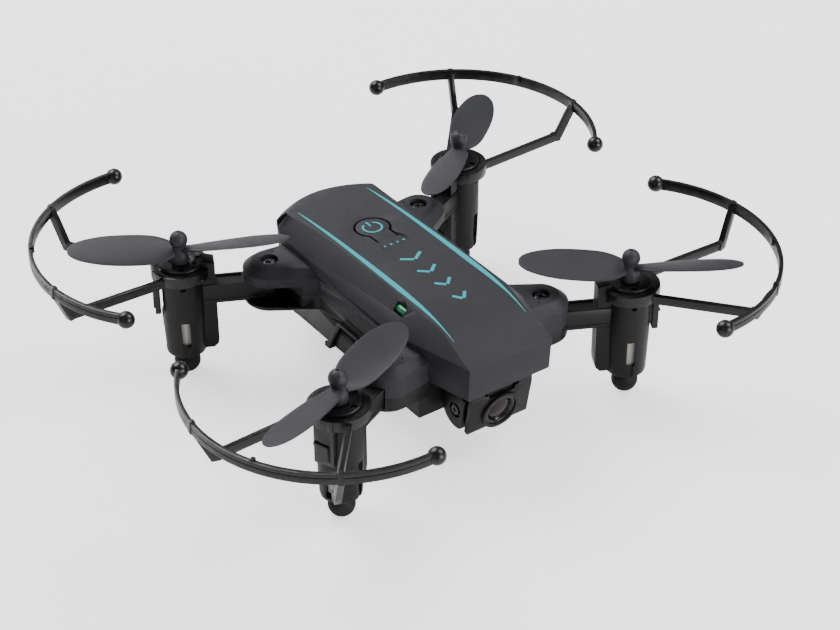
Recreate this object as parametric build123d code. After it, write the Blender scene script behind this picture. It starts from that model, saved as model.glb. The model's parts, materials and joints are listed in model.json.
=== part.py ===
from build123d import *
import math
import os

# Foldable palm-size quadcopter. Millimetres, +Z up, front towards -Y, +X to the right.
# Origin: centre between the four motors, on the plane the feet rest on.

# ---------------------------------------------------------------- driving dimensions
MOTOR_X, MOTOR_Y = 35.716, 29.873        # motor axes
HINGE_X, HINGE_Y = 19.1, 21.7            # arm hinge axes
ARM_L = math.hypot(MOTOR_X - HINGE_X, MOTOR_Y - HINGE_Y)
ARM_A = math.degrees(math.atan2(MOTOR_Y - HINGE_Y, MOTOR_X - HINGE_X))

BODY_W = 13.9                            # half width at the shoulder
TOP_W = 10.1                             # half width of the flat top
SHOULDER_Z = 27.7                        # lower edge of the slanted shoulder
SEAM_Z = 20.0                            # seam between upper and lower shell
BASE_Z = 9.3                             # underside of the lower shell
BASE_W = 13.0                            # half width at the underside
NOSE_Y, NOSE_W = -36.9, 10.05            # front face and its half width
TAPER_Y = -22.0                          # where the nose starts to narrow
TAIL_Y = 35.4
TAIL_ROLL_Z = 26.0                       # height where the tail starts to roll over
LOWER_FRONT_Y = -24.0                    # front wall of the lower shell
WALL = 1.1

BEAM_W, BEAM_Z0, BEAM_Z1 = 4.3, 17.7, 22.2
SLOT_Z0, SLOT_Z1 = 17.5, 22.4            # slot that takes the arm knuckle
EAR_R, EAR_Z0, EAR_Z1 = 5.65, 16.3, 26.0
EAR_BAND, EAR_BAND_Z = 1.9, 1.6           # sloped band round the top of each ear, across and down
KNUCKLE_R = 2.35
POD_R, POD_R_LOW, POD_Z0, POD_TOP = 4.6, 4.3, 5.3, 26.7
POD_WINDOW_Z0, POD_WINDOW_Z1 = 8.6, 14.6  # tall slot the motor can shows through
MOTOR_R, MOTOR_BORE = 3.5, 3.54
MOTOR_Z0, MOTOR_Z1 = 7.4, 26.5
SHAFT_R, SHAFT_BORE = 0.5, 0.55
FOOT_R = 2.8
PIVOT_R, PIVOT_BORE = 1.0, 1.05

PROP_Z, PROP_CONE = 30.3, 0.058          # blade height at the hub and how much the blades rise per millimetre outwards
HUB_BALL_R, HUB_BALL_Z = 1.90, 32.78

GUARD_R, GUARD_T, GUARD_Z0, GUARD_Z1, GUARD_HALF = 30.19, 0.9, 31.65, 33.95, 66.5
GUARD_BALL = 1.78

CAM_Y, CAM_Z, CAM_TILT = -28.5, 12.2, 11.0   # tilt axis and the angle it looks down at rest
CAM_W = 7.45

BUTTON_Y, BUTTON_R, BUTTON_HINGE_Y, BUTTON_NECK = 11.2, 4.05, 5.3, 2.75
BUTTON_GAP = 0.52
DOOR_X0, DOOR_X1, DOOR_Y0, DOOR_Y1 = -13.05, 9.0, -13.85, 21.85
DOOR_HX, DOOR_HZ = 10.3, 10.2            # door hinge pin


# ---------------------------------------------------------------- small helpers
def cyl(r, z0, z1, x=0.0, y=0.0):
    return Pos(x, y, (z0 + z1) / 2) * Cylinder(r, z1 - z0)


def box(x0, x1, y0, y1, z0, z1):
    return Pos((x0 + x1) / 2, (y0 + y1) / 2, (z0 + z1) / 2) * Box(x1 - x0, y1 - y0, z1 - z0)


def poly(pts):
    return make_face(Polyline(*[tuple(p) for p in pts], close=True))


def prism(pts, z0, z1):
    return extrude(Pos(0, 0, z0) * poly(pts), z1 - z0, dir=(0, 0, 1))


def prism_x(pts, x0, x1):
    """Polygon of (y, z) points, extruded along X."""
    face = make_face(Polyline(*[(x0, p[0], p[1]) for p in pts], close=True))
    return extrude(face, x1 - x0, dir=(1, 0, 0))


def prism_y(pts, y0, y1):
    """Polygon of (x, z) points, extruded along Y."""
    face = make_face(Polyline(*[(p[0], y0, p[1]) for p in pts], close=True))
    return extrude(face, y1 - y0, dir=(0, 1, 0))


def revolve_z(pts):
    """Polygon of (r, z) points turned about Z."""
    face = make_face(Polyline(*[(p[0], 0, p[1]) for p in pts], close=True))
    return revolve(face, Axis.Z)


def cyl_x(r, x0, x1, y=0.0, z=0.0):
    return Pos((x0 + x1) / 2, y, z) * Rot(0, 90, 0) * Cylinder(r, x1 - x0)


def cyl_y(r, y0, y1, x=0.0, z=0.0):
    return Pos(x, (y0 + y1) / 2, z) * Rot(90, 0, 0) * Cylinder(r, y1 - y0)


def half_space(p, n, size=140, depth=60):
    return Plane(origin=p, z_dir=n) * Pos(0, 0, depth / 2) * Box(size, size, depth)


def soft(shape, edges, radii):
    """Fillet with the largest of the radii that works."""
    for r in radii:
        try:
            out = fillet(edges, r)
            if out.is_valid and abs(out.volume) > 0:
                return out
        except Exception:
            continue
    return shape


def wire(points, r, bend=0.8):
    """Round lead along a bent line."""
    path = Polyline(*points)
    if len(points) > 2:
        try:
            path = FilletPolyline(*points, radius=bend)
        except Exception:
            pass
    start = Plane(origin=path @ 0, z_dir=path % 0)
    return sweep(start * Circle(r), path=path)


def save(shape, name):
    solids = shape.solids()
    shape = solids[0] if len(solids) == 1 else Compound(children=list(solids))
    export_step(shape, "parts/" + name + ".step")


os.makedirs("parts", exist_ok=True)


# ---------------------------------------------------------------- body form
def plan_wire(inset, z, k=1.0, y_front=None):
    w = (BODY_W - inset) * k
    yf = NOSE_Y + inset
    ty = TAPER_Y + inset * 0.15
    fx = (NOSE_W - inset * 0.80) * k
    t = (TAIL_Y - inset - 21.0) / (35.4 - 21.0)
    tail = [(1.0, 21.0), (0.975, 26.3), (0.885, 29.4), (0.69, 31.95), (0.36, 34.4)]
    right = [(w * a, 21.0 + (b - 21.0) * t) for a, b in tail]
    left = [(-a, b) for a, b in reversed(right)]
    pts = right + [(0, TAIL_Y - inset)] + left
    sp = Spline(*[(a, b, z) for a, b in pts], tangents=[(0, 1, 0), (0, -1, 0)])
    if y_front is None:
        line = Polyline((-w, 21.0, z), (-w, ty, z), (-fx, yf, z), (fx, yf, z), (w, ty, z), (w, 21.0, z))
    else:
        line = Polyline((-w, 21.0, z), (-w, y_front, z), (w, y_front, z), (w, 21.0, z))
    return make_face(sp.edges() + line.edges())


def draft(z):
    return 1 - (BODY_W - BASE_W) / BODY_W * (SHOULDER_Z - z) / (SHOULDER_Z - BASE_Z)


def tail_wire(inset, z, dy):
    """Outline of the tail at one height; its sides and front lie outside the body."""
    w = BODY_W + 0.6 - inset
    tail = [(1.0, 21.0), (0.985, 26.3), (0.90, 29.6), (0.69, 32.3), (0.36, 34.5)]
    right = [(w * a, b - inset - dy) for a, b in tail]
    left = [(-a, b) for a, b in reversed(right)]
    pts = right + [(0, TAIL_Y - inset - dy)] + left
    sp = Spline(*[(a, b, z) for a, b in pts], tangents=[(0, 1, 0), (0, -1, 0)])
    line = Polyline((-w, 21.0 - inset - dy, z), (-w, 0, z), (w, 0, z), (w, 21.0 - inset - dy, z))
    return make_face(sp.edges() + line.edges())


def body_form(inset, z_low):
    """The whole outer form of the body, from z_low up, drawn in by inset all round."""
    body = loft([plan_wire(inset, z_low, draft(z_low)), plan_wire(inset, 36.0, draft(36.0))], ruled=True)
    top = [(-36.9, 27.6), (-31.8, 29.45), (-27, 31.1), (-22, 32.0), (-14, 32.4), (0, 32.45),
           (10, 32.3), (20, 31.85), (28, 31.2), (36, 30.2), (44, 28.9)]
    pts = [(-20, a + (inset if a < -36 else 0), b - inset) for a, b in top]
    sp = Spline(*pts)
    rest = Polyline(pts[-1], (-20, 44, z_low - 1), (-20, -36.3 + inset - 0.08, z_low - 1), pts[0])
    side = extrude(make_face(sp.edges() + rest.edges()), 40, dir=(1, 0, 0))
    body = body & side
    for s in (1, -1):
        a = Vector(s * BODY_W, 0, SHOULDER_Z)
        n = Vector(s * 4.5, 0, 3.8).normalized()
        body = body - half_space(a - n * inset, n)
        a = Vector(s * BODY_W, TAPER_Y, SHOULDER_Z)
        n = Vector(s * 64.07, -16.94, 56.6).normalized()
        body = body - half_space(a - n * inset, n)
    rise, run = 5.6, 7.0                   # how the roof rolls over into the tail
    levels = [(z_low - 4 + inset, 0), (z_low + inset, 0), (TAIL_ROLL_Z - 3, 0)]
    levels += [(TAIL_ROLL_Z + rise * math.sin(math.radians(q)), run * (1 - math.cos(math.radians(q)))) for q in (0, 15, 30, 45, 60, 75, 88)]
    dome = loft([tail_wire(inset, z - inset, dy) for z, dy in levels])
    return body - (box(-25, 25, 25.5, 60, 0, 50) - dome)


outer = body_form(0.0, SEAM_Z)
inner = body_form(WALL, SEAM_Z - 0.5)
if not (inner.is_valid and inner.volume > 0):
    raise RuntimeError("inner form failed")


# ---------------------------------------------------------------- ears that hold the arm hinges
def ear_slot():
    """Pocket for the arm knuckle. It is open towards the side the arm folds to; on the other side a wall stops the arm."""
    ca, sa = math.cos(math.radians(ARM_A)), math.sin(math.radians(ARM_A))
    off = KNUCKLE_R + 0.12
    q = (HINGE_X - sa * off, HINGE_Y + ca * off)
    at = lambda x: (x, q[1] + (x - q[0]) * sa / ca)
    return prism([(16.6, 6), at(16.6), at(45), (45, 6)], SLOT_Z0, SLOT_Z1)


# sloped band round the top, a cone about the hinge and one plane along each straight side
round_end = cyl(EAR_R, EAR_Z0, EAR_Z1, HINGE_X, HINGE_Y) & Pos(HINGE_X, HINGE_Y, 0) * revolve_z(
    [(0, EAR_Z0), (EAR_R - 0.6, EAR_Z0), (EAR_R, EAR_Z0 + 0.6), (EAR_R, EAR_Z1 - EAR_BAND_Z), (EAR_R - EAR_BAND, EAR_Z1), (0, EAR_Z1)])
hx, hy = HINGE_X, HINGE_Y
n1, n2 = (0.545, -0.838), (-0.11, 0.994)
web = prism([(12.6, 10.75), (hx + EAR_R * n1[0], hy + EAR_R * n1[1]), (hx, hy), (hx + EAR_R * n2[0], hy + EAR_R * n2[1]), (12.2, 26.4)], EAR_Z0, EAR_Z1)
for n in (n1, n2):
    k = math.hypot(EAR_BAND, EAR_BAND_Z)
    v = Vector(n[0] * EAR_BAND_Z / k, n[1] * EAR_BAND_Z / k, EAR_BAND / k)
    web = web - half_space(Vector(hx + EAR_R * n[0], hy + EAR_R * n[1], EAR_Z1 - EAR_BAND_Z), v)
    v = Vector(n[0] * 0.7071, n[1] * 0.7071, -0.7071)
    web = web - half_space(Vector(hx + EAR_R * n[0], hy + EAR_R * n[1], EAR_Z0 + 0.6), v)
ear = web + round_end
ear = ear - ear_slot()
ear = ear - cyl(1.9, EAR_Z1 - 1.4, EAR_Z1 + 1, HINGE_X, HINGE_Y)
ear = ear - cyl(0.22, EAR_Z1 - 0.7, EAR_Z1 + 1, HINGE_X - 2.2, HINGE_Y + 2.3)
ear = ear - cyl(PIVOT_BORE, SLOT_Z1 - 1, EAR_Z1, HINGE_X, HINGE_Y)
ear = ear - cyl(PIVOT_R + 0.01, EAR_Z0 + 0.3, SLOT_Z0 + 1, HINGE_X, HINGE_Y)
ear_up = ear & box(0, 60, 0, 60, SEAM_Z, 40)
ear_low = ear & box(0, 60, 0, 60, 0, SEAM_Z)


def four(shape):
    a = shape
    b = mirror(shape, Plane.YZ)
    return [a, b, mirror(a, Plane.XZ), mirror(b, Plane.XZ)]


# ---------------------------------------------------------------- upper shell
upper = outer
for e in four(ear_up):
    upper = upper + e
upper = upper - inner
for (bx, by) in ((9.2, -19.6), (-9.2, -19.6), (8.6, 26.0), (-8.6, 26.0)):
    post = cyl(2.1, SEAM_Z, 30.6, bx, by) & outer
    upper = upper + post
    upper = upper - cyl(0.8, SEAM_Z - 1, 26.0, bx, by)
# board rails under the roof
for s in (1, -1):
    upper = upper + (box(s * 10.3 - 0.5, s * 10.3 + 0.5, -12, -4, 21.6, 31) & outer)
    upper = upper + (box(s * 10.3 - 0.5, s * 10.3 + 0.5, 12, 18, 21.6, 31) & outer)


def keyhole(r, neck, y_end, z0, z1):
    return cyl(r, z0, z1, 0, BUTTON_Y) + box(-neck, neck, y_end, BUTTON_Y - 1.0, z0, z1)


upper = upper - keyhole(BUTTON_R, BUTTON_NECK, BUTTON_HINGE_Y, 29.0, 36)

# windows for the running lights, cut square to the shoulder


def shoulder_plane(s, x, y):
    return Plane(origin=(s * x, y, SHOULDER_Z + (BODY_W - x) * 4.5 / 3.8), x_dir=(0, 1, 0), z_dir=Vector(s * 4.5, 0, 3.8).normalized())


def shoulder_block(s, x, y, ly, lz, depth, out=0.0):
    return shoulder_plane(s, x, y) * Pos(0, 0, (out - depth) / 2) * Box(ly, lz, depth + out)


def corner_block(s, ly, lz, depth, out=0.0):
    n = Vector(s * 0.70, 0.30, 0.64).normalized()
    pl = Plane(origin=(s * 11.45, 28.0, 29.75), x_dir=Vector(-s * 0.30, 0.70, 0).normalized(), z_dir=n)
    return pl * Pos(0, 0, (out - depth) / 2) * Box(ly, lz, depth + out)


led_front, led_rear = [], []
for s in (1, -1):
    upper = upper - shoulder_block(s, 11.35, -15.3, 3.2, 2.3, 3.0, 2.0)
    # a small half-round lens lying along the window, on its square base
    pl = shoulder_plane(s, 11.35, -15.3)
    led_front.append(pl * Pos(0, 0, -1.2) * Rot(0, 90, 0) * Cylinder(0.98, 2.9) + pl * Pos(0, 0, -2.0) * Box(2.9, 2.05, 1.5))
    upper = upper - corner_block(s, 1.3, 3.2, 3.4, 3.0)
    led_rear.append(corner_block(s, 1.15, 3.05, 2.6, -0.35))

save(upper, "upper_shell")
save(Compound(children=[b.solid() for b in led_front]), "led_front")
save(Compound(children=[b.solid() for b in led_rear]), "led_rear")

# ---------------------------------------------------------------- power button, a tongue with its own keyhole outline
tab = keyhole(BUTTON_R - BUTTON_GAP, BUTTON_NECK - BUTTON_GAP, BUTTON_HINGE_Y + 0.02, 29.0, 36)
roof = outer - body_form(WALL, SEAM_Z - 0.5)
button = tab & roof
BUTTON_AXIS_Z = button.bounding_box().min.Z
button = button + cyl(1.2, 24.7, BUTTON_AXIS_Z + 0.6, 0, BUTTON_Y)
save(button, "power_button")

# ---------------------------------------------------------------- lower shell
def low_form(inset, z0, z1, yf):
    return loft([plan_wire(inset, z0, draft(z0), yf), plan_wire(inset, z1, draft(z1), yf)], ruled=True)


lower = low_form(0.0, BASE_Z, SEAM_Z, LOWER_FRONT_Y)
under = [e for e in lower.edges() if abs(e.center().Z - BASE_Z) < 0.01 and e.center().Y > -20]
lower = soft(lower, under, (1.4, 1.0, 0.6))
# the flat underside lifts towards the front
lower = lower - prism_x([(LOWER_FRONT_Y - 3, 9.85), (LOWER_FRONT_Y, 9.75), (-17.5, BASE_Z), (-17.5, 5), (LOWER_FRONT_Y - 3, 5)], -30, 30)
for e in four(ear_low):
    lower = lower + e
lower = lower - low_form(WALL, BASE_Z + WALL, SEAM_Z + 0.01, LOWER_FRONT_Y + WALL)
# bosses for the four case screws
for (bx, by) in ((9.2, -19.6), (-9.2, -19.6), (8.6, 26.0), (-8.6, 26.0)):
    lower = lower + cyl(2.5, BASE_Z + 0.6, SEAM_Z - 0.02, bx, by)
    lower = lower - cyl(1.9, BASE_Z - 1, 11.4, bx, by) - cyl(0.85, 11.0, SEAM_Z + 1, bx, by)
# posts the circuit board sits on
for s in (1, -1):
    for y in (-9.0, 17.0):
        lower = lower + box(min(s * 8.9, s * 12.9), max(s * 8.9, s * 12.9), y - 0.6, y + 0.6, 18.4, SEAM_Z - 0.05)
        lower = lower + box(min(s * 8.9, s * 11.9), max(s * 8.9, s * 11.9), y - 0.6, y + 0.6, 18.4, SEAM_Z + 0.35)
# nose floor with the camera bracket
floor_pts = [(-11.9, -22.9), (-8.85, -35.2), (8.85, -35.2), (11.9, -22.9)]
nose = prism(floor_pts, SEAM_Z + 0.1, SEAM_Z + 1.2)
nose = nose - box(-2.2, 2.2, -26.5, -23.6, 19, 22)
nose = nose + box(-11.6, 11.6, LOWER_FRONT_Y + 0.05, -22.4, SEAM_Z - 1.2, SEAM_Z + 1.2)
for s in (1, -1):
    plate = prism_x([(CAM_Y - 1.7, SEAM_Z + 0.3), (CAM_Y - 1.7, CAM_Z), (CAM_Y + 1.7, CAM_Z), (CAM_Y + 1.7, SEAM_Z + 0.3)], 5.0, 6.2)
    plate = plate + cyl_x(1.9, 5.0, 6.2, CAM_Y, CAM_Z)
    plate = plate - cyl_x(0.71, 4.5, 7.0, CAM_Y, CAM_Z)
    nose = nose + (plate if s > 0 else mirror(plate, Plane.YZ))
lower = lower + nose
# opening for the battery door, with hinge lugs on the right
lower = lower - box(-20, 9.5, DOOR_Y0 - 0.15, DOOR_Y1 + 0.15, BASE_Z - 1, BASE_Z + 1.2)
for (y0, y1) in ((-11.6, -10.15), (-3.85, -2.4), (10.4, 11.85), (18.15, 19.6)):
    lower = lower + (box(9.75, 11.4, y0, y1, BASE_Z + 0.02, 11.3))
for (y0, y1) in ((-10.15, -3.85), (11.85, 18.15)):
    lower = lower - box(8.8, 11.6, y0, y1, BASE_Z - 1, 11.6)
lower = lower - cyl_y(0.41, -11.4, 19.4, DOOR_HX, DOOR_HZ)
# grip ribs above the door latch
for z in (18.55, 19.1, 19.65):
    x = BODY_W - (SHOULDER_Z - z) * (BODY_W - BASE_W) / (SHOULDER_Z - BASE_Z)
    lower = lower + box(-x - 0.30, -x + 0.5, -5.2, 1.4, z - 0.12, z + 0.12)
save(lower, "lower_shell")

# ---------------------------------------------------------------- battery door with its open latch strap on two lugs
door = box(DOOR_X0 - 0.0, DOOR_X1, DOOR_Y0, DOOR_Y1, BASE_Z, BASE_Z + 1.05)
cut = [e for e in door.edges() if abs(e.center().X - DOOR_X0) < 0.01 and abs(e.center().Z - BASE_Z) < 0.01]
door = soft(door, cut, (0.8, 0.5))
for (y0, y1) in ((-10.0, -4.0), (12.0, 18.0)):
    door = door + box(8.7, DOOR_HX, y0, y1, BASE_Z + 0.1, DOOR_HZ) + cyl_y(0.88, y0, y1, DOOR_HX, DOOR_HZ)
door = door - cyl_y(0.43, -12, 20, DOOR_HX, DOOR_HZ)
frame_out = [(8.9, 9.3), (3.5, 18.1), (-3.7, 18.1), (-9.1, 9.3)]
frame_in = [(8.45, 8.0), (2.65, 17.4), (-2.85, 17.4), (-8.65, 8.0)]
strap = prism_x(frame_out, -15.4, -12.0) - prism_x(frame_in, -16, -11)
drift = (BODY_W - BASE_W) / (SHOULDER_Z - BASE_Z)
shell_x = lambda z: BODY_W - (SHOULDER_Z - z) * drift
band = prism_y([(-shell_x(9.3) - 0.12, 9.3), (-shell_x(18.2) - 0.12, 18.2), (-shell_x(18.2) - 0.80, 18.2),
                (-shell_x(14.0) - 0.95, 14.0), (-shell_x(9.3) - 1.15, 9.3)], -12, 12)
strap = strap & band
foot_bar = box(-shell_x(9.3) - 1.15, DOOR_X0 + 1.0, 7.15, 8.9, BASE_Z, BASE_Z + 1.05)
foot_bar = foot_bar + box(-shell_x(9.3) - 1.15, DOOR_X0 + 1.0, -9.1, -7.35, BASE_Z, BASE_Z + 1.05)
door = door + strap + foot_bar
for y in (-6, -3, 0, 3, 6):
    door = door - box(-9.0, 4.0, y * 1.9 + 3.7, y * 1.9 + 4.3, BASE_Z - 0.5, BASE_Z + 0.3)
save(door, "battery_door")
save(cyl_y(0.4, -11.3, 19.3, DOOR_HX, DOOR_HZ), "door_hinge_pin")

# ---------------------------------------------------------------- inside the body
pack = box(-9.4, 8.4, -15.0, 20.5, 10.75, 17.4)
pack = soft(pack, pack.edges(), (1.6, 1.0))
tape = box(-9.4, 8.4, 20.5, 22.3, 12.6, 15.6)
save(pack + tape, "battery_pack")
lead = wire([(-3, 22.32, 15.0), (-3, 24.2, 15.0), (-3, 24.2, 22.4), (-3, 22.0, 22.4)], 0.5)
lead2 = wire([(-1.4, 22.32, 15.0), (-1.4, 24.2, 15.0), (-1.4, 24.2, 22.4), (-1.4, 22.0, 22.4)], 0.5)
save(Compound(children=[lead.solid(), lead2.solid()]), "battery_lead")

board = box(-9.6, 9.6, -16.0, 23.2, 20.4, 21.4)
for (bx, by) in ((9.2, -19.6), (-9.2, -19.6), (8.6, 26.0), (-8.6, 26.0)):
    board = board - cyl(3.0, 19, 23, bx, by)
for x in (-7.6, 7.6):
    for y in (-12, 20):
        board = board - cyl(0.6, 19, 23, x, y)
save(board, "main_board")
chips = [box(-3.2, 3.2, -4.5, 1.9, 21.4, 22.4), box(4.6, 7.8, -3.0, 0.2, 21.4, 22.3), box(-8.2, -4.6, -9.2, -2.8, 21.4, 22.2),
         box(-4.9, 4.9, -14.8, -11.6, 21.4, 23.2), box(-4.6, 0.2, 19.6, 21.9, 21.4, 24.4),
         box(5.0, 7.2, 4.6, 6.9, 21.4, 22.5), box(-7.2, -5.0, 4.6, 6.9, 21.4, 22.5), box(5.0, 7.2, 9.6, 11.9, 21.4, 22.5),
         box(-7.2, -5.0, 9.6, 11.9, 21.4, 22.5), box(4.9, 8.1, 14.2, 16.2, 21.4, 22.9), cyl(1.6, 21.4, 24.2, -6.8, 16.4)]
chips[4] = chips[4] - cyl_y(0.56, 19.0, 23, -3.0, 22.4) - cyl_y(0.56, 19.0, 23, -1.4, 22.4)
save(Compound(children=[c.solid() for c in chips]), "board_chips")
switch = box(-2.3, 2.3, BUTTON_Y - 2.3, BUTTON_Y + 2.3, 21.4, 23.2) + cyl(0.95, 23.2, 24.1, 0, BUTTON_Y)
save(switch, "power_switch")
ant = wire([(8.6, -6.0, 21.95), (8.6, -12.0, 21.95), (8.6, -14.5, 26.5), (8.6, 8.0, 27.6)], 0.3, 1.2)
save(ant, "antenna_wire")
ribbon = prism_x([(-14.0, 23.25), (-17.5, 23.25), (-24.6, 21.75), (-24.6, 19.6), (-24.9, 19.6), (-24.9, 22.0), (-17.6, 23.5), (-14.0, 23.5)], -1.8, 1.8)
save(ribbon, "camera_ribbon")


def phillips(head_r, top, depth, w):
    return box(-head_r * 0.62, head_r * 0.62, -w / 2, w / 2, top - depth, top + 1) + \
        box(-w / 2, w / 2, -head_r * 0.62, head_r * 0.62, top - depth, top + 1)


case_screw = cyl(1.55, 9.75, 10.95) + cyl(0.78, 10.9, 24.5)
slot = (box(-0.95, 0.95, -0.22, 0.22, 9, 10.35) + box(-0.22, 0.22, -0.95, 0.95, 9, 10.35))
case_screw = case_screw - slot
save(Compound(children=[(Pos(bx, by, 0) * case_screw).solid() for (bx, by) in
                        ((9.2, -19.6), (-9.2, -19.6), (8.6, 26.0), (-8.6, 26.0))]), "body_screws")
head = cyl(1.45, 24.62, 25.45)
head = soft(head, [e for e in head.edges() if abs(e.center().Z - 25.45) < 0.01], (0.4, 0.25))
hinge_screw = head + cyl(PIVOT_R, 16.8, 24.65) - phillips(1.45, 25.45, 0.5, 0.36)
save(Compound(children=[(Pos(sx * HINGE_X, sy * HINGE_Y, 0) * Rot(0, 0, 20 + 25 * sx + 10 * sy) * hinge_screw).solid()
                        for sx in (1, -1) for sy in (1, -1)]), "hinge_screws")
pin = cyl_x(0.7, 5.0, 7.0) + cyl_x(1.15, 6.92, 7.5)
pin = pin - box(7.2, 8, -0.75, 0.75, -0.15, 0.15) - box(7.2, 8, -0.15, 0.15, -0.75, 0.75)
pin = Pos(0, CAM_Y, CAM_Z) * pin
save(Compound(children=[pin.solid(), mirror(pin, Plane.YZ).solid()]), "camera_pivot_screws")

# ---------------------------------------------------------------- camera pod, drawn level about its tilt axis, then tipped to its rest angle
FRONT = -4.77


def tip(shape):
    return Pos(0, CAM_Y, CAM_Z) * Rot(CAM_TILT, 0, 0) * shape


face = box(-CAM_W, CAM_W, FRONT, -3.75, -2.95, 5.7)
ledge = prism_x([(FRONT, 5.6), (FRONT + 0.35, 6.95), (-2.4, 6.95), (-2.4, 5.6)], -CAM_W, CAM_W)
neck = box(-6.5, 6.5, -3.8, -2.45, -2.6, 6.6) - box(-5.5, 5.5, -3.75, -2.0, -1.7, 5.6)
housing = face + ledge + neck
housing = housing + cyl_y(4.45, FRONT, -2.5, 0, 0.95) - cyl_y(3.62, -7, -1.5, 0, 0.95)
housing = housing + (cyl_y(4.4, FRONT - 0.65, FRONT + 0.1, 0, 0.95) - cyl_y(3.62, -7, -1.5, 0, 0.95))
housing = housing - prism_y([(-4.4, 8), (-2.9, 5.15), (2.9, 5.15), (4.4, 8)], FRONT - 1, -4.0) \
    - prism_y([(-5.0, 8), (-4.0, 6.0), (4.0, 6.0), (5.0, 8)], -5.5, -3.4)
housing = housing + (cyl_y(4.4, FRONT - 0.65, FRONT + 0.8, 0, 0.95) - cyl_y(3.62, -7, -1.5, 0, 0.95))
save(tip(housing), "camera_housing")

cheek = cyl_x(4.2, -CAM_W, CAM_W) + prism_x([(-2.4, 4.3), (-2.4, -3.45), (0, -4.2), (0, 4.2)], -CAM_W, CAM_W)
cheek = cheek - box(-9, 9, -6, -2.4, -6, 6)
cheek = cheek - cyl_x(3.2, -6.35, 6.35) - box(-6.35, 6.35, -3, 0, -2.5, 4.5)
sweep_gap = prism_x([(0, -0.4), (8, 1.4), (8, 9), (-8, 9), (-3.5, -0.4)], -6.35, 6.35)
cheek = cheek - sweep_gap
for s in (1, -1):
    cheek = cheek - cyl_x(0.75, min(s * 5, s * 9), max(s * 5, s * 9)) - cyl_x(1.75, min(s * 6.88, s * 9), max(s * 6.88, s * 9))
save(tip(cheek), "camera_back_cover")

barrel = revolve_z([(0.9, 0), (3.3, 0), (3.3, 1.4), (3.6, 1.4), (3.6, 2.55), (3.05, 2.55), (2.65, 1.9), (2.65, 1.2), (0.9, 1.2)])
# barrel axis runs forward
to_front = Pos(0, -2.6, 0.95) * Rot(90, 0, 0)
save(tip(to_front * barrel), "lens_barrel")
glass = revolve_z([(0, 1.22), (2.6, 1.22), (2.6, 1.95), (2.2, 2.15), (1.4, 2.32), (0.6, 2.4), (0, 2.42)])
save(tip(to_front * glass), "lens_glass")
sensor = box(-4.6, 4.6, -2.38, -1.8, -2.2, 5.2) + box(-3.0, 3.0, -1.8, -0.9, -1.5, 3.6)
save(tip(sensor), "camera_sensor_board")


# ---------------------------------------------------------------- arm, drawn with its hinge on Z and the pod out along +X
def make_arm():
    p = ARM_L
    a = cyl(KNUCKLE_R, BEAM_Z0, BEAM_Z1)
    a = a + box(0, 14.4, -BEAM_W / 2, BEAM_W / 2, BEAM_Z0, BEAM_Z1)
    # shallow channel along the top between two lips, and the lead channel underneath
    a = a - box(5.9, 11.3, -BEAM_W / 2 + 0.55, BEAM_W / 2 - 0.55, BEAM_Z1 - 0.4, BEAM_Z1 + 1)
    a = a - box(4.6, 13.4, -1.15, 1.15, BEAM_Z0 - 1, BEAM_Z0 + 1.7)
    # step lines along both faces of the beam
    for s in (1, -1):
        a = a - box(1.2, 13.9, min(s * 2.02, s * 3), max(s * 2.02, s * 3), 18.5, 18.75)
    pod = revolve_z([(0, POD_Z0), (POD_R_LOW - 0.6, POD_Z0), (POD_R_LOW - 0.12, POD_Z0 + 0.45), (POD_R_LOW, POD_Z0 + 1.1),
                     (POD_R, 15.0), (POD_R, POD_TOP), (0, POD_TOP)])
    fin = box(-7.0, -3.6, -1.9, 1.9, 6.4, 27.9)
    fin = fin - prism_y([(-8, 5), (-5.2, 5), (-6.1, 6.6), (-6.8, 7.3), (-7.0, 8.6), (-8, 8.6)], -3, 3)
    fin = fin - prism_y([(-8, 27.0), (-6.6, 27.3), (-3.4, 28.2), (-3.4, 30), (-8, 30)], -3, 3)
    fin = fin - box(-6.2, -3.0, -1.15, 1.15, 7.3, 19.2)
    pod = (pod + fin) - cyl(MOTOR_BORE, POD_Z0 + 1.0, 40) - cyl(1.22, 0, 8)
    pod = pod - box(-6.2, -3.0, -1.15, 1.15, 7.0, 19.4)
    for s in (1, -1):
        pod = pod - box(-0.9, 0.9, min(s * 3, s * 6), max(s * 3, s * 6), POD_WINDOW_Z0, POD_WINDOW_Z1)
        pod = pod - box(-0.55, 0.55, min(s * 3.75, s * 6), max(s * 3.75, s * 6), POD_Z0 - 1, POD_WINDOW_Z0 + 0.5)
        pod = pod - box(-0.6, 0.6, min(s * 3.3, s * 6), max(s * 3.3, s * 6), 22.7, 23.5)
    pod = pod - box(3, 6, -0.9, 0.9, 6.6, 12.2)
    pod = pod - box(4.25, 6, -2.3, 2.3, 15.6, 28)
    pod = pod - box(3.4, 6, -1.4, 1.4, 21.6, 23.0)
    return a, pod, p


arm_a, arm_pod, arm_p = make_arm()
arm = arm_a + Pos(arm_p, 0, 0) * arm_pod
arm = arm - cyl(PIVOT_BORE, 0, 40) - (Pos(arm_p, 0, 0) * cyl(MOTOR_BORE, POD_Z0 + 1.0, 40))
arm = arm - box(4.6, arm_p - 3.0, -1.15, 1.15, BEAM_Z0 - 1, BEAM_Z0 + 1.7)
arm = arm - Pos(arm_p, 0, 0) * cyl(4.56, POD_TOP, 40)


def leads():
    out = []
    for s in (0.5, -0.5):
        path = [(arm_p - 5.0, s, 7.7), (arm_p - 5.0, s, 18.55), (5.0, s, 18.55)]
        out.append(wire(path, 0.4, 1.0).solid())
    return Compound(children=out)


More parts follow.
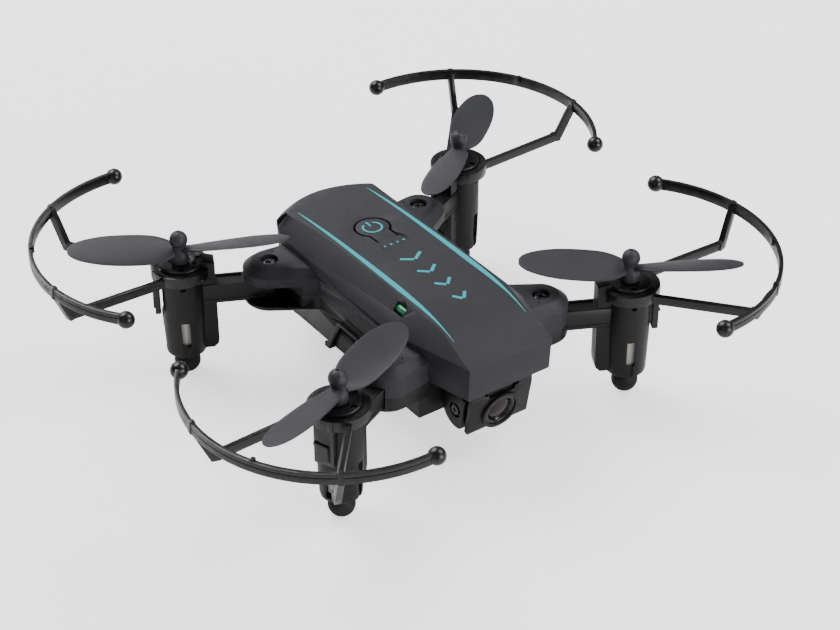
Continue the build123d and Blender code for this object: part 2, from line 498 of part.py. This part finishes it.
can = cyl(MOTOR_R, MOTOR_Z0, MOTOR_Z1)
can = soft(can, [e for e in can.edges() if abs(e.center().Z - MOTOR_Z1) < 0.01], (0.35, 0.2))
can = can - cyl(SHAFT_BORE, 8.2, 40) - cyl(1.32, 0, 8.0)
endcap = cyl(3.4, POD_Z0 + 1.15, MOTOR_Z0 - 0.02) + cyl(1.3, MOTOR_Z0 - 0.02, 7.98)
cap = revolve_z([(1.0, MOTOR_Z1 + 0.02), (3.5, MOTOR_Z1 + 0.02), (3.5, POD_TOP + 0.02), (4.52, POD_TOP + 0.02), (4.52, 27.25), (4.32, 27.42),
                 (2.3, 27.42), (2.2, 27.05), (1.0, 27.05)])
for s in (1, -1):                          # square sight holes either side, over the rim of the can
    cap = cap - box(-0.65, 0.65, min(s * 2.75, s * 4.1), max(s * 2.75, s * 4.1), 26, 28)
cap = cap - box(-5, -3.2, -1.5, 1.5, 27.1, 28) - box(-3.6, -2.4, 0.9, 1.7, 27.15, 28)
bush = cyl(0.95, MOTOR_Z1 + 0.02, 27.0) - cyl(SHAFT_BORE, 26, 28)

foot = Pos(0, 0, FOOT_R - 0.1) * Sphere(FOOT_R)
foot = foot & cyl(6, 0, POD_Z0 - 0.02)
foot = foot + cyl(1.2, POD_Z0 - 0.1, POD_Z0 + 0.95)

# ---------------------------------------------------------------- guard: clip collar, two struts, hoop
def make_guard():
    g = cyl(6.25, 24.6, 26.9) - cyl(4.7, 24, 28)
    g = g - prism([(-10, -2.5), (-3.0, -2.5), (-3.0, 2.5), (-10, 2.5)], 24, 28)
    g = g - prism([(-10, -6), (-4.9, -2.5), (-4.9, 2.5), (-10, 6)], 24, 28)
    g = g + (box(4.75, 5.95, -2.15, 2.15, 16.2, 26.9) - cyl(4.7, 0, 40))
    g = g + box(5.9, 6.25, -2.15, 1.3, 20.4, 20.95) + box(5.9, 6.25, 0.75, 1.3, 17.2, 20.95)
    arc = CenterArc((0, 0, 0), GUARD_R, -GUARD_HALF, 2 * GUARD_HALF)
    hoop = (cyl(GUARD_R + GUARD_T / 2, GUARD_Z0, GUARD_Z1) - cyl(GUARD_R - GUARD_T / 2, 0, 60))
    c, s = math.cos(math.radians(GUARD_HALF)), math.sin(math.radians(GUARD_HALF))
    wedge = prism([(0, 0), (60 * c, 60 * s), (80, 60 * s), (80, -60 * s), (60 * c, -60 * s)], 20, 50)
    hoop = hoop & wedge
    groove = (cyl(GUARD_R + 2, 32.95, 33.15) - cyl(GUARD_R + GUARD_T / 2 - 0.15, 0, 60))
    hoop = hoop - (groove & Rot(0, 0, 0) * wedge)
    g2 = hoop
    for m in (1, -1):
        g2 = g2 + Pos(GUARD_R * c, m * GUARD_R * s, 32.8) * Sphere(GUARD_BALL)
        kink = Vector(22.8, m * 12.9, 0)
        start = Vector(3.95, m * 4.54, 0)
        d = (kink - start)
        ang = math.degrees(math.atan2(d.Y, d.X))
        strut = Pos(start.X, start.Y, 0) * Rot(0, 0, ang) * box(0, d.length + 0.4, -0.6, 0.6, 24.4, 26.2)
        strut = strut - cyl(4.75, 0, 40)
        g2 = g2 + strut
        end = Vector(GUARD_R * math.cos(math.radians(31.5)), m * GUARD_R * math.sin(math.radians(31.5)), 0)
        e = end - kink
        ang2 = math.degrees(math.atan2(e.Y, e.X))
        riser = prism_y([(-0.9, 24.4), (1.0, 24.4), (1.9, 26.3), (4.4, 31.8), (4.4, 33.5), (3.75, 33.5), (2.35, 31.2), (0.1, 26.3), (-0.9, 26.3)], -0.65, 0.65)
        g2 = g2 + Pos(kink.X, kink.Y, 0) * Rot(0, 0, ang2) * riser
        g2 = g2 + Rot(0, 0, m * 31.5) * box(GUARD_R - 0.6, GUARD_R + 0.56, -0.55, 0.55, 31.5, 34.1)
    g2 = g2 + box(GUARD_R - 0.85, GUARD_R + 0.2, -0.4, 0.4, 32.9, 34.25)
    return g + g2


guard = make_guard()


# ---------------------------------------------------------------- propeller: ball cap, neck, skirt and two twisted blades
def make_prop(cw):
    sgn = -1 if cw else 1
    hub = revolve_z([(0, 27.5), (1.8, 27.5), (1.95, 27.7), (1.95, 29.2), (1.62, 30.1), (1.5, 30.8), (1.62, 31.6), (0, 31.9)])
    hub = hub + Pos(0, 0, HUB_BALL_Z) * Sphere(HUB_BALL_R)
    hub = hub - cyl(0.28, 34.0, 36) - cyl(0.51, 20, 31.3)
    stations = [(0.9, 3.7, 21, 1.6), (2.6, 5.6, 21, 1.25), (5.0, 7.4, 20, 0.95), (8.0, 8.2, 18.8, 0.8), (12.0, 8.45, 17, 0.7),
                (15.5, 8.1, 15.5, 0.66), (18.5, 7.0, 14.2, 0.62), (20.8, 5.4, 13.2, 0.58), (22.2, 3.5, 12.6, 0.5), (22.9, 1.4, 12.4, 0.35)]
    sections = []
    for r, c, beta, t in stations:
        # local x of the section runs along the chord, its normal along the blade
        pl = Plane(origin=(r, 0, PROP_Z + PROP_CONE * r), x_dir=(0, math.cos(math.radians(beta)), sgn * math.sin(math.radians(beta))), z_dir=(1, 0, 0))
        sections.append(pl * Ellipse(c / 2, t / 2))
    blade = loft(sections)
    blade = blade + (Rot(0, 0, 180) * blade)
    prop = hub + blade
    prop = prop - cyl(0.51, 20, 31.3)
    return prop


prop_cw, prop_ccw = make_prop(True), make_prop(False)
shaft = cyl(SHAFT_R, 8.4, 31.2)

CORNERS = {
    "front_left": (-1, -1, 180 + ARM_A, 202.7, False),
    "front_right": (1, -1, -ARM_A, 143.3, True),
    "rear_left": (-1, 1, 180 - ARM_A, 151.1, True),
    "rear_right": (1, 1, ARM_A, 38.8, False),
}
for name, (sx, sy, ang, blade_ang, cw) in CORNERS.items():
    at_hinge = Pos(sx * HINGE_X, sy * HINGE_Y, 0) * Rot(0, 0, ang)
    at_motor = at_hinge * Pos(ARM_L, 0, 0)
    save(at_hinge * arm, "arm_" + name)
    save(at_hinge * leads(), "motor_leads_" + name)
    save(at_motor * can, "motor_can_" + name)
    save(at_motor * endcap, "motor_endcap_" + name)
    save(at_motor * Compound(children=[cap.solid(), bush.solid()]), "motor_cap_" + name)
    save(at_motor * foot, "foot_" + name)
    save(at_motor * guard, "guard_" + name)
    at_prop = Pos(sx * MOTOR_X, sy * MOTOR_Y, 0) * Rot(0, 0, blade_ang)
    save(at_prop * (prop_cw if cw else prop_ccw), "propeller_" + name)
    save(at_prop * shaft, "motor_shaft_" + name)
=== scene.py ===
import bpy
import bmesh
import json
import math
import random
from mathutils import Matrix, Vector
from mathutils.bvhtree import BVHTree


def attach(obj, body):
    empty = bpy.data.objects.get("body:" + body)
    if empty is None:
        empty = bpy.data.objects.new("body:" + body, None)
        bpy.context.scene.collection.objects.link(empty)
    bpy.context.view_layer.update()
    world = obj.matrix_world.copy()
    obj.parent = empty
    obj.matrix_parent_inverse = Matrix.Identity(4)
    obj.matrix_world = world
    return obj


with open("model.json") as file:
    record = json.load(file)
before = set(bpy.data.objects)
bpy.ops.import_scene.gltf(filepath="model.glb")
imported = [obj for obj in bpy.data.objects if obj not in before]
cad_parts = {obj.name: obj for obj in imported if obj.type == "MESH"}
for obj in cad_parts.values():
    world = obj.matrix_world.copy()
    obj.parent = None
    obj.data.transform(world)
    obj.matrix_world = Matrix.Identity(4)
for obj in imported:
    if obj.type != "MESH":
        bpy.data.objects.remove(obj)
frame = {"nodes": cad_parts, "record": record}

random.seed(7)
MM = 0.001
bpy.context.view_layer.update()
nodes = frame["nodes"]
scene = bpy.context.scene
QUARTERS = ("front_left", "front_right", "rear_left", "rear_right")
SIGN = {"front_left": (-1, -1), "front_right": (1, -1), "rear_left": (-1, 1), "rear_right": (1, 1)}


# ------------------------------------------------------------------ node helpers
class Tree:
    """Small helper to wire shader nodes."""

    def __init__(self, name):
        self.mat = bpy.data.materials.new(name)
        self.mat.use_nodes = True
        self.t = self.mat.node_tree
        self.t.nodes.clear()
        self.out = self.add("ShaderNodeOutputMaterial")
        self.bsdf = self.add("ShaderNodeBsdfPrincipled")
        self.link(self.bsdf.outputs[0], self.out.inputs[0])
        self.coord = self.add("ShaderNodeTexCoord")
        self.obj = self.coord.outputs["Object"]

    def add(self, kind, **kw):
        n = self.t.nodes.new(kind)
        for k, v in kw.items():
            setattr(n, k, v)
        return n

    def link(self, a, b):
        self.t.links.new(a, b)

    def put(self, sock, v):
        if hasattr(v, "is_output") or isinstance(v, bpy.types.NodeSocket):
            self.link(v, sock)
        else:
            sock.default_value = v

    def math(self, op, a, b=0.0, c=0.0, clamp=False):
        n = self.add("ShaderNodeMath", operation=op, use_clamp=clamp)
        self.put(n.inputs[0], a)
        self.put(n.inputs[1], b)
        if len(n.inputs) > 2:
            self.put(n.inputs[2], c)
        return n.outputs[0]

    def noise(self, scale, detail=2.0, rough=0.5, vec=None, stretch=None, w=0.0):
        m = self.add("ShaderNodeMapping")
        self.link(vec or self.obj, m.inputs[0])
        if stretch:
            m.inputs["Scale"].default_value = stretch
        m.inputs["Location"].default_value = (w, w * 0.7, w * 1.3)
        n = self.add("ShaderNodeTexNoise")
        self.link(m.outputs[0], n.inputs["Vector"])
        n.inputs["Scale"].default_value = scale
        n.inputs["Detail"].default_value = detail
        n.inputs["Roughness"].default_value = rough
        return n.outputs["Fac"]

    def ramp(self, fac, lo, hi, a=0.0, b=1.0):
        n = self.add("ShaderNodeMapRange")
        self.put(n.inputs["Value"], fac)
        n.inputs["From Min"].default_value = lo
        n.inputs["From Max"].default_value = hi
        n.inputs["To Min"].default_value = a
        n.inputs["To Max"].default_value = b
        return n.outputs[0]

    def mix(self, fac, a, b):
        n = self.add("ShaderNodeMix", data_type="RGBA")
        self.put(n.inputs["Factor"], fac)
        self.put(n.inputs[6], a)
        self.put(n.inputs[7], b)
        return n.outputs[2]

    def edges(self, radius):
        """1 on convex and concave edges within radius, 0 on flats."""
        bev = self.add("ShaderNodeBevel", samples=4)
        bev.inputs["Radius"].default_value = radius
        geo = self.add("ShaderNodeNewGeometry")
        d = self.add("ShaderNodeVectorMath", operation="DOT_PRODUCT")
        self.link(bev.outputs[0], d.inputs[0])
        self.link(geo.outputs["Normal"], d.inputs[1])
        return self.ramp(d.outputs["Value"], 0.995, 0.93)


def rgb(r, g, b, a=1.0):
    return (r, g, b, a)


def plastic(name, base, rough=0.5, grain=6500.0, grain_depth=0.010, wear=0.5, spec=0.5, coat=0.0, sheen=0.0, mottle=0.12, edge_r=0.00025, micro=1.0, speck=0.1):
    """Moulded plastic: fine spark-eroded grain, faint flow mottling, handling marks in the gloss, paler rubbed edges."""
    t = Tree(name)
    grain_n = t.noise(grain, 2.0, 0.55)
    fine = t.noise(grain * 2.3, 1.0, 0.5, w=0.3)
    big = t.noise(90.0, 4.0, 0.6, w=1.7)
    mid = t.noise(900.0, 3.0, 0.55, w=0.9)
    flow = t.ramp(big, 0.35, 0.68)
    dark = rgb(*[c * (1 - mottle) for c in base])
    light = rgb(*[min(1, c * (1 + mottle) + 0.0006) for c in base])
    col = t.mix(flow, dark, light)
    dots = t.ramp(t.noise(5200.0, 2.0, 0.7, w=2.2), 0.62, 0.78)
    col = t.mix(t.math("MULTIPLY", dots, speck), col, rgb(*[min(1, c * 1.9 + 0.012) for c in base]))
    edge = t.edges(edge_r)
    worn = t.math("MULTIPLY", edge, t.ramp(mid, 0.35, 0.7, 0.35, 1.0))
    col = t.mix(t.math("MULTIPLY", worn, wear), col, rgb(*[min(1, c * 2.4 + 0.02) for c in base]))
    t.link(col, t.bsdf.inputs["Base Color"])
    r = t.math("ADD", t.ramp(big, 0.3, 0.7, rough - 0.06, rough + 0.06), t.ramp(mid, 0.3, 0.7, -0.035, 0.035))
    r = t.math("SUBTRACT", r, t.math("MULTIPLY", edge, 0.08), clamp=True)
    t.link(r, t.bsdf.inputs["Roughness"])
    t.bsdf.inputs["Specular IOR Level"].default_value = spec
    if coat:
        t.bsdf.inputs["Coat Weight"].default_value = coat
        t.bsdf.inputs["Coat Roughness"].default_value = 0.22
    if sheen:
        t.bsdf.inputs["Sheen Weight"].default_value = sheen
        t.bsdf.inputs["Sheen Roughness"].default_value = 0.4
    h = t.math("ADD", grain_n, t.math("MULTIPLY", fine, 0.5 * micro))
    b = t.add("ShaderNodeBump")
    b.inputs["Strength"].default_value = 1.0
    b.inputs["Distance"].default_value = grain_depth * MM
    t.link(h, b.inputs["Height"])
    t.link(b.outputs[0], t.bsdf.inputs["Normal"])
    return t.mat


def rubber(name, base):
    t = Tree(name)
    dust = t.ramp(t.noise(700.0, 4.0, 0.65, w=0.4), 0.45, 0.75)
    col = t.mix(t.math("MULTIPLY", dust, 0.35), rgb(*base), rgb(*[c * 2.4 + 0.02 for c in base]))
    t.link(col, t.bsdf.inputs["Base Color"])
    t.link(t.ramp(t.noise(300.0, 3.0, w=1.1), 0.3, 0.7, 0.55, 0.8), t.bsdf.inputs["Roughness"])
    t.bsdf.inputs["Specular IOR Level"].default_value = 0.35
    b = t.add("ShaderNodeBump")
    b.inputs["Distance"].default_value = 0.02 * MM
    t.link(t.noise(4200.0, 3.0, 0.6, w=0.2), b.inputs["Height"])
    t.link(b.outputs[0], t.bsdf.inputs["Normal"])
    return t.mat


def metal(name, base, rough=0.25, stretch=(1, 1, 1), scale=3000.0, depth=0.004, dark=0.5, metallic=1.0):
    """Turned or drawn metal: fine directional marks, slight tarnish."""
    t = Tree(name)
    lines = t.noise(scale, 3.0, 0.6, stretch=stretch)
    stain = t.noise(260.0, 4.0, 0.6, w=0.8)
    col = t.mix(t.ramp(stain, 0.42, 0.72, 0.0, dark), rgb(*base), rgb(*[c * 0.55 for c in base]))
    col = t.mix(t.ramp(lines, 0.3, 0.7, 0.0, 0.25), col, rgb(*[c * 0.7 for c in base]))
    t.link(col, t.bsdf.inputs["Base Color"])
    t.bsdf.inputs["Metallic"].default_value = metallic
    t.link(t.math("ADD", t.ramp(stain, 0.3, 0.7, rough - 0.05, rough + 0.1), t.ramp(lines, 0.3, 0.7, -0.04, 0.04), clamp=True), t.bsdf.inputs["Roughness"])
    b = t.add("ShaderNodeBump")
    b.inputs["Distance"].default_value = depth * MM
    t.link(lines, b.inputs["Height"])
    t.link(b.outputs[0], t.bsdf.inputs["Normal"])
    return t.mat


def lens_material(name, tint, alpha_rough=0.03, emission=None, strength=0.0):
    """Clear tinted moulding, dark inside with a fine inner grain."""
    t = Tree(name)
    n = t.noise(1500.0, 3.0, 0.6)
    col = t.mix(t.ramp(n, 0.35, 0.7), rgb(*[c * 0.75 for c in tint]), rgb(*[min(1, c * 1.25) for c in tint]))
    t.link(col, t.bsdf.inputs["Base Color"])
    t.bsdf.inputs["Roughness"].default_value = 0.09
    t.link(t.ramp(n, 0.3, 0.7, alpha_rough, alpha_rough + 0.06), t.bsdf.inputs["Roughness"])
    t.bsdf.inputs["IOR"].default_value = 1.5
    t.bsdf.inputs["Coat Weight"].default_value = 0.35
    t.bsdf.inputs["Coat Roughness"].default_value = 0.04
    t.bsdf.inputs["Subsurface Weight"].default_value = 0.25
    t.bsdf.inputs["Subsurface Radius"].default_value = (0.001, 0.001, 0.001)
    if emission:
        t.bsdf.inputs["Emission Color"].default_value = rgb(*emission)
        t.bsdf.inputs["Emission Strength"].default_value = strength
    return t.mat


def print_ink(name, base):
    """Pad-printed ink: even, with a faint screen texture."""
    t = Tree(name)
    n = t.noise(2600.0, 3.0, 0.6)
    col = t.mix(t.ramp(n, 0.3, 0.75), rgb(*[c * 0.92 for c in base]), rgb(*[min(1, c * 1.06) for c in base]))
    t.link(col, t.bsdf.inputs["Base Color"])
    t.link(t.ramp(t.noise(800.0, 2.0, w=0.5), 0.3, 0.7, 0.42, 0.58), t.bsdf.inputs["Roughness"])
    b = t.add("ShaderNodeBump")
    b.inputs["Distance"].default_value = 0.008 * MM
    t.link(t.noise(7000.0, 2.0, w=0.7), b.inputs["Height"])
    t.link(b.outputs[0], t.bsdf.inputs["Normal"])
    return t.mat


def board_material(name):
    """Solder mask with copper tracks showing through and fibre texture."""
    t = Tree(name)
    v = t.add("ShaderNodeTexVoronoi", feature="DISTANCE_TO_EDGE")
    t.link(t.obj, v.inputs["Vector"])
    v.inputs["Scale"].default_value = 620.0
    tracks = t.ramp(v.outputs["Distance"], 0.06, 0.09)
    col = t.mix(tracks, rgb(0.035, 0.24, 0.10), rgb(0.012, 0.11, 0.045))
    col = t.mix(t.ramp(t.noise(2500.0, 3.0), 0.5, 0.8, 0, 0.4), col, rgb(0.02, 0.16, 0.08))
    t.link(col, t.bsdf.inputs["Base Color"])
    t.bsdf.inputs["Roughness"].default_value = 0.3
    t.link(t.ramp(t.noise(400.0, 3.0), 0.3, 0.7, 0.24, 0.4), t.bsdf.inputs["Roughness"])
    b = t.add("ShaderNodeBump")
    b.inputs["Distance"].default_value = 0.03 * MM
    t.link(tracks, b.inputs["Height"])
    t.link(b.outputs[0], t.bsdf.inputs["Normal"])
    return t.mat


def glass_material(name):
    """Coated camera glass: nearly black, with a violet bloom that shifts at grazing angles."""
    t = Tree(name)
    lw = t.add("ShaderNodeLayerWeight")
    lw.inputs["Blend"].default_value = 0.35
    col = t.mix(lw.outputs["Facing"], rgb(0.010, 0.005, 0.006), rgb(0.030, 0.013, 0.022))
    n = t.noise(500.0, 2.0)
    t.link(t.mix(t.ramp(n, 0.3, 0.7, 0, 0.3), col, rgb(0.03, 0.016, 0.016)), t.bsdf.inputs["Base Color"])
    t.link(t.ramp(n, 0.3, 0.7, 0.02, 0.06), t.bsdf.inputs["Roughness"])
    t.bsdf.inputs["IOR"].default_value = 1.45
    t.bsdf.inputs["Specular IOR Level"].default_value = 0.3
    t.bsdf.inputs["Coat Weight"].default_value = 0.25
    t.bsdf.inputs["Coat Roughness"].default_value = 0.02
    return t.mat


MAT = {
    "shell_grey": plastic("shell_grey", (0.026, 0.026, 0.030), rough=0.55, grain=7000, grain_depth=0.011, wear=0.14, mottle=0.08, spec=0.3, speck=0.06),
    "shell_black": plastic("shell_black", (0.0062, 0.0058, 0.0066), rough=0.40, grain=7000, grain_depth=0.007, wear=0.14, spec=0.3, coat=0.06, speck=0.05),
    "arm_black": plastic("arm_black", (0.0052, 0.0050, 0.0060), rough=0.42, grain=6000, grain_depth=0.006, wear=0.14, spec=0.28, coat=0.06, speck=0.04),
    "guard_black": plastic("guard_black", (0.0038, 0.0037, 0.0043), rough=0.30, grain=5000, grain_depth=0.004, wear=0.10, spec=0.38, coat=0.2, speck=0.03),
    "propeller_grey": plastic("propeller_grey", (0.027, 0.027, 0.032), rough=0.48, grain=8000, grain_depth=0.007, wear=0.22, mottle=0.06, spec=0.36, speck=0.05),
    "foot_rubber": rubber("foot_rubber", (0.006, 0.006, 0.0065)),
    "motor_steel": metal("motor_steel", (0.86, 0.82, 0.76), rough=0.34, stretch=(1, 1, 0.08), scale=5000, dark=0.15, metallic=0.45),
    "motor_plastic": plastic("motor_plastic", (0.007, 0.007, 0.008), rough=0.34, grain=6000, wear=0.15, spec=0.3, coat=0.06, speck=0.04),
    "shaft_steel": metal("shaft_steel", (0.92, 0.92, 0.91), rough=0.12, stretch=(0.2, 0.2, 3.0), scale=5000, dark=0.12),
    "screw_steel": metal("screw_steel", (0.10, 0.10, 0.105), rough=0.30, scale=4000, depth=0.006),
    "lead_wire": plastic("lead_wire", (0.40, 0.025, 0.018), rough=0.35, grain=3000, wear=0.1),
    "battery_foil": metal("battery_foil", (0.68, 0.69, 0.72), rough=0.42, scale=900, depth=0.05),
    "circuit_board": board_material("circuit_board"),
    "chip_black": plastic("chip_black", (0.012, 0.012, 0.012), rough=0.6, grain=5000, wear=0.2),
    "ribbon_film": plastic("ribbon_film", (0.50, 0.22, 0.04), rough=0.25, grain=1500, wear=0.1),
    "lens_black": plastic("lens_black", (0.005, 0.005, 0.006), rough=0.24, grain=6000, grain_depth=0.003, wear=0.25, coat=0.2, speck=0.02),
    "lens_glass": glass_material("lens_glass"),
    "led_green": lens_material("led_green", (0.001, 0.17, 0.060), emission=(0.0, 0.6, 0.2), strength=0.02),
    "led_red": lens_material("led_red", (0.060, 0.003, 0.004)),
    "print_blue": print_ink("print_blue", (0.014, 0.37, 0.44)),
    "print_white": print_ink("print_white", (0.50, 0.58, 0.60)),
}
slot_of = {s["node"]: s["material_slot"] for s in frame["record"]["subparts"]}

BEVEL = {"upper_shell": 0.28, "lower_shell": 0.22, "battery_door": 0.18, "power_button": 0.10, "camera_housing": 0.12, "camera_back_cover": 0.14,
         "lens_barrel": 0.07, "battery_pack": 0.0, "main_board": 0.0}


def dress(o, slot, bevel=0.12, angle=32):
    """Material and rounded moulded edges for a CAD node; the caller sets smooth shading."""
    o.data.materials.clear()
    o.data.materials.append(MAT[slot])
    w = o.modifiers.new("weld", "WELD")
    w.merge_threshold = 0.000004
    if bevel > 0:
        b = o.modifiers.new("edges", "BEVEL")
        b.width = bevel * MM
        b.segments = 3
        b.limit_method = "ANGLE"
        b.angle_limit = math.radians(angle)
        b.harden_normals = True
        b.use_clamp_overlap = True
        b.miter_outer = "MITER_ARC"


for name, o in nodes.items():
    base = name
    for q in QUARTERS:
        if name.endswith("_" + q):
            base = name[: -len(q) - 1]
    width = BEVEL.get(base, {"arm": 0.16, "guard": 0.14, "propeller": 0.05, "foot": 0.0, "motor_can": 0.0, "motor_shaft": 0.0, "motor_leads": 0.0,
                             "motor_cap": 0.05, "motor_endcap": 0.05}.get(base, 0.06))
    dress(o, slot_of[name], width)
    for p in o.data.polygons:
        p.use_smooth = True

# ------------------------------------------------------------------ printed trim on the roof
def surface(name):
    o = nodes[name]
    mw = o.matrix_world
    return BVHTree.FromPolygons([mw @ v.co for v in o.data.vertices], [tuple(p.vertices) for p in o.data.polygons])


TOPS = {"upper_shell": surface("upper_shell"), "power_button": surface("power_button")}


def strip(name, pairs, node, body, mat, across=3, lift=0.014, sink=0.02):
    """A thin film of ink laid on a node from above: pairs of (left, right) points in mm, in order along it."""
    tree = TOPS[node]
    bm = bmesh.new()
    top, low = [], []
    for l, r in pairs:
        tr, lr = [], []
        for k in range(across + 1):
            f = k / across
            x, y = (l[0] + (r[0] - l[0]) * f) * MM, (l[1] + (r[1] - l[1]) * f) * MM
            hit = tree.ray_cast(Vector((x, y, 0.06)), Vector((0, 0, -1)))[0]
            if hit is None:
                raise ValueError("print misses the roof: %s at %.2f, %.2f" % (name, x / MM, y / MM))
            tr.append(bm.verts.new((x, y, hit.z + lift * MM)))
            lr.append(bm.verts.new((x, y, hit.z - sink * MM)))
        top.append(tr)
        low.append(lr)
    n = len(pairs)
    for i in range(n - 1):
        for k in range(across):
            bm.faces.new((top[i][k], top[i][k + 1], top[i + 1][k + 1], top[i + 1][k]))
            bm.faces.new((low[i][k], low[i + 1][k], low[i + 1][k + 1], low[i][k + 1]))
        bm.faces.new((top[i][0], top[i + 1][0], low[i + 1][0], low[i][0]))
        bm.faces.new((top[i][across], low[i][across], low[i + 1][across], top[i + 1][across]))
    for i in (0, n - 1):
        for k in range(across):
            bm.faces.new((top[i][k], low[i][k], low[i][k + 1], top[i][k + 1]))
    bmesh.ops.recalc_face_normals(bm, faces=bm.faces[:])
    me = bpy.data.meshes.new(name)
    bm.to_mesh(me)
    bm.free()
    o = bpy.data.objects.new(name, me)
    scene.collection.objects.link(o)
    me.materials.append(MAT[mat])
    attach(o, body)
    return o


def lerp(a, b, n):
    return [tuple(a[i] + (b[i] - a[i]) * k / n for i in range(2)) for k in range(n + 1)]


def bar(name, a, b, half, node, body, mat, n=6):
    d = Vector((b[0] - a[0], b[1] - a[1])).normalized()
    s = (-d.y * half, d.x * half)
    return strip(name, [((p[0] + s[0], p[1] + s[1]), (p[0] - s[0], p[1] - s[1])) for p in lerp(a, b, n)], node, body, mat, 2)


STRIPE = ((0.0, 0.05), (0.06, 0.20), (0.20, 0.34), (0.38, 0.46), (0.55, 0.58), (0.68, 0.60), (0.80, 0.44), (0.92, 0.18), (1.0, 0.03))


def table(f, rows):
    for (a, u), (b, v) in zip(rows, rows[1:]):
        if f <= b:
            return u + (v - u) * (f - a) / (b - a)
    return rows[-1][1]


for side, tag in ((-1, "left"), (1, "right")):
    pairs = []
    for k in range(91):
        f = k / 90
        y = 26.3 - 56.3 * f
        h = table(f, STRIPE)
        pairs.append(((side * 8.8 - h, y), (side * 8.8 + h, y)))
    strip("print_stripe_" + tag, pairs, "upper_shell", "airframe", "print_blue")

CX, CY = 0.0, 11.2
arc = [math.radians(90 + 32 + (360 - 64) * k / 40) for k in range(41)]
strip("print_power_ring", [((CX + 1.80 * math.cos(a), CY + 1.80 * math.sin(a)), (CX + 2.22 * math.cos(a), CY + 2.22 * math.sin(a))) for a in arc],
      "power_button", "power_button", "print_blue", 2)
bar("print_power_bar", (CX, CY + 0.6), (CX, CY + 2.6), 0.21, "power_button", "power_button", "print_blue")
for k, x in enumerate((-2.2, -0.7, 0.9, 2.45)):
    rows = []
    for j in range(9):
        a = math.pi * (0.06 + 0.88 * j / 8)
        rows.append(((x - 0.27 * math.sin(a), 3.3 - 0.27 * math.cos(a)), (x + 0.27 * math.sin(a), 3.3 - 0.27 * math.cos(a))))
    strip("print_dot_%d" % (k + 1), rows, "upper_shell", "airframe", "print_blue", 2)
for k in range(4):
    y = -4.2 - 5.6 * k
    w = 2.5 - 0.32 * k
    for side, tag in ((-1, "left"), (1, "right")):
        bar("print_chevron_%s_%d" % (tag, k + 1), (side * w, y + 1.7), (side * 0.18, y), 0.34, "upper_shell", "airframe", "print_blue", 5)

# ------------------------------------------------------------------ floor, light, camera
def floor():
    bm = bmesh.new()
    n = 24
    prof = [(-6.0, 0.0)] + [(0.55 + 0.5 * math.sin(a), 0.5 - 0.5 * math.cos(a)) for a in [i * math.pi / 2 / 12 for i in range(13)]] + [(1.05, 1.6)]
    rows = []
    for x in (-6.0, 6.0):
        rows.append([bm.verts.new((x, y, z)) for y, z in prof])
    for i in range(len(prof) - 1):
        bm.faces.new((rows[0][i], rows[1][i], rows[1][i + 1], rows[0][i + 1]))
    me = bpy.data.meshes.new("floor")
    bm.to_mesh(me)
    bm.free()
    for p in me.polygons:
        p.use_smooth = True
    o = bpy.data.objects.new("floor", me)
    scene.collection.objects.link(o)
    t = Tree("floor")
    c = t.mix(t.ramp(t.noise(6.0, 3.0), 0.3, 0.7), rgb(0.90, 0.90, 0.90), rgb(0.93, 0.93, 0.93))
    t.link(c, t.bsdf.inputs["Base Color"])
    t.bsdf.inputs["Roughness"].default_value = 0.7
    path = t.add("ShaderNodeLightPath")
    t.bsdf.inputs["Emission Color"].default_value = rgb(1, 1, 1)
    t.link(t.math("MULTIPLY", path.outputs["Is Camera Ray"], 1.25), t.bsdf.inputs["Emission Strength"])
    # seen from below, the floor is clear, so the underside can be looked at
    side = t.add("ShaderNodeNewGeometry")
    clear = t.add("ShaderNodeBsdfTransparent")
    both = t.add("ShaderNodeMixShader")
    t.link(t.math("MULTIPLY", path.outputs["Is Camera Ray"], side.outputs["Backfacing"]), both.inputs[0])
    t.link(t.bsdf.outputs[0], both.inputs[1])
    t.link(clear.outputs[0], both.inputs[2])
    t.link(both.outputs[0], t.out.inputs[0])
    me.materials.append(t.mat)


floor()


def area(name, loc, target, size, power, color=(1, 1, 1), size_y=None):
    l = bpy.data.lights.new(name, "AREA")
    l.shape = "RECTANGLE"
    l.size = size
    l.size_y = size_y or size
    l.energy = power
    l.color = color
    o = bpy.data.objects.new(name, l)
    scene.collection.objects.link(o)
    o.location = loc
    o.rotation_euler = (Vector(target) - Vector(loc)).to_track_quat("-Z", "Y").to_euler()
    return o


area("key", (0.42, -0.22, 0.62), (0, 0, 0.02), 0.45, 4.0)
area("top", (-0.10, 0.50, 0.66), (0, 0, 0.02), 0.6, 7.2)
area("front", (0.22, -0.80, 0.16), (0, 0, 0.02), 0.5, 5.0)
area("fill", (-0.7, -0.35, 0.35), (0, 0, 0.02), 0.5, 0.45)
world = bpy.data.worlds.new("world")
scene.world = world
world.use_nodes = True
world.node_tree.nodes["Background"].inputs[0].default_value = (0.93, 0.95, 1.0, 1)
wt = world.node_tree
seen = wt.nodes.new("ShaderNodeLightPath")
level = wt.nodes.new("ShaderNodeMapRange")
wt.links.new(seen.outputs["Is Camera Ray"], level.inputs["Value"])
level.inputs["To Min"].default_value = 0.17
level.inputs["To Max"].default_value = 1.6
wt.links.new(level.outputs[0], wt.nodes["Background"].inputs[1])

cam_data = bpy.data.cameras.new("camera")
cam = bpy.data.objects.new("camera", cam_data)
scene.collection.objects.link(cam)
R = Matrix(((0.81763289, -0.57571404, -0.00545884), (0.32867764, 0.45896361, 0.82542317), (-0.4727023, -0.67668733, 0.56448808))).transposed()
cam.matrix_world = Matrix.Translation(Vector((-214.93553913, -313.58577123, 276.24697929)) * MM) @ R.to_4x4()
cam_data.sensor_width = 36.0
cam_data.lens = 94.40418124825445
cam_data.clip_start = 0.01
cam_data.clip_end = 10
scene.camera = cam
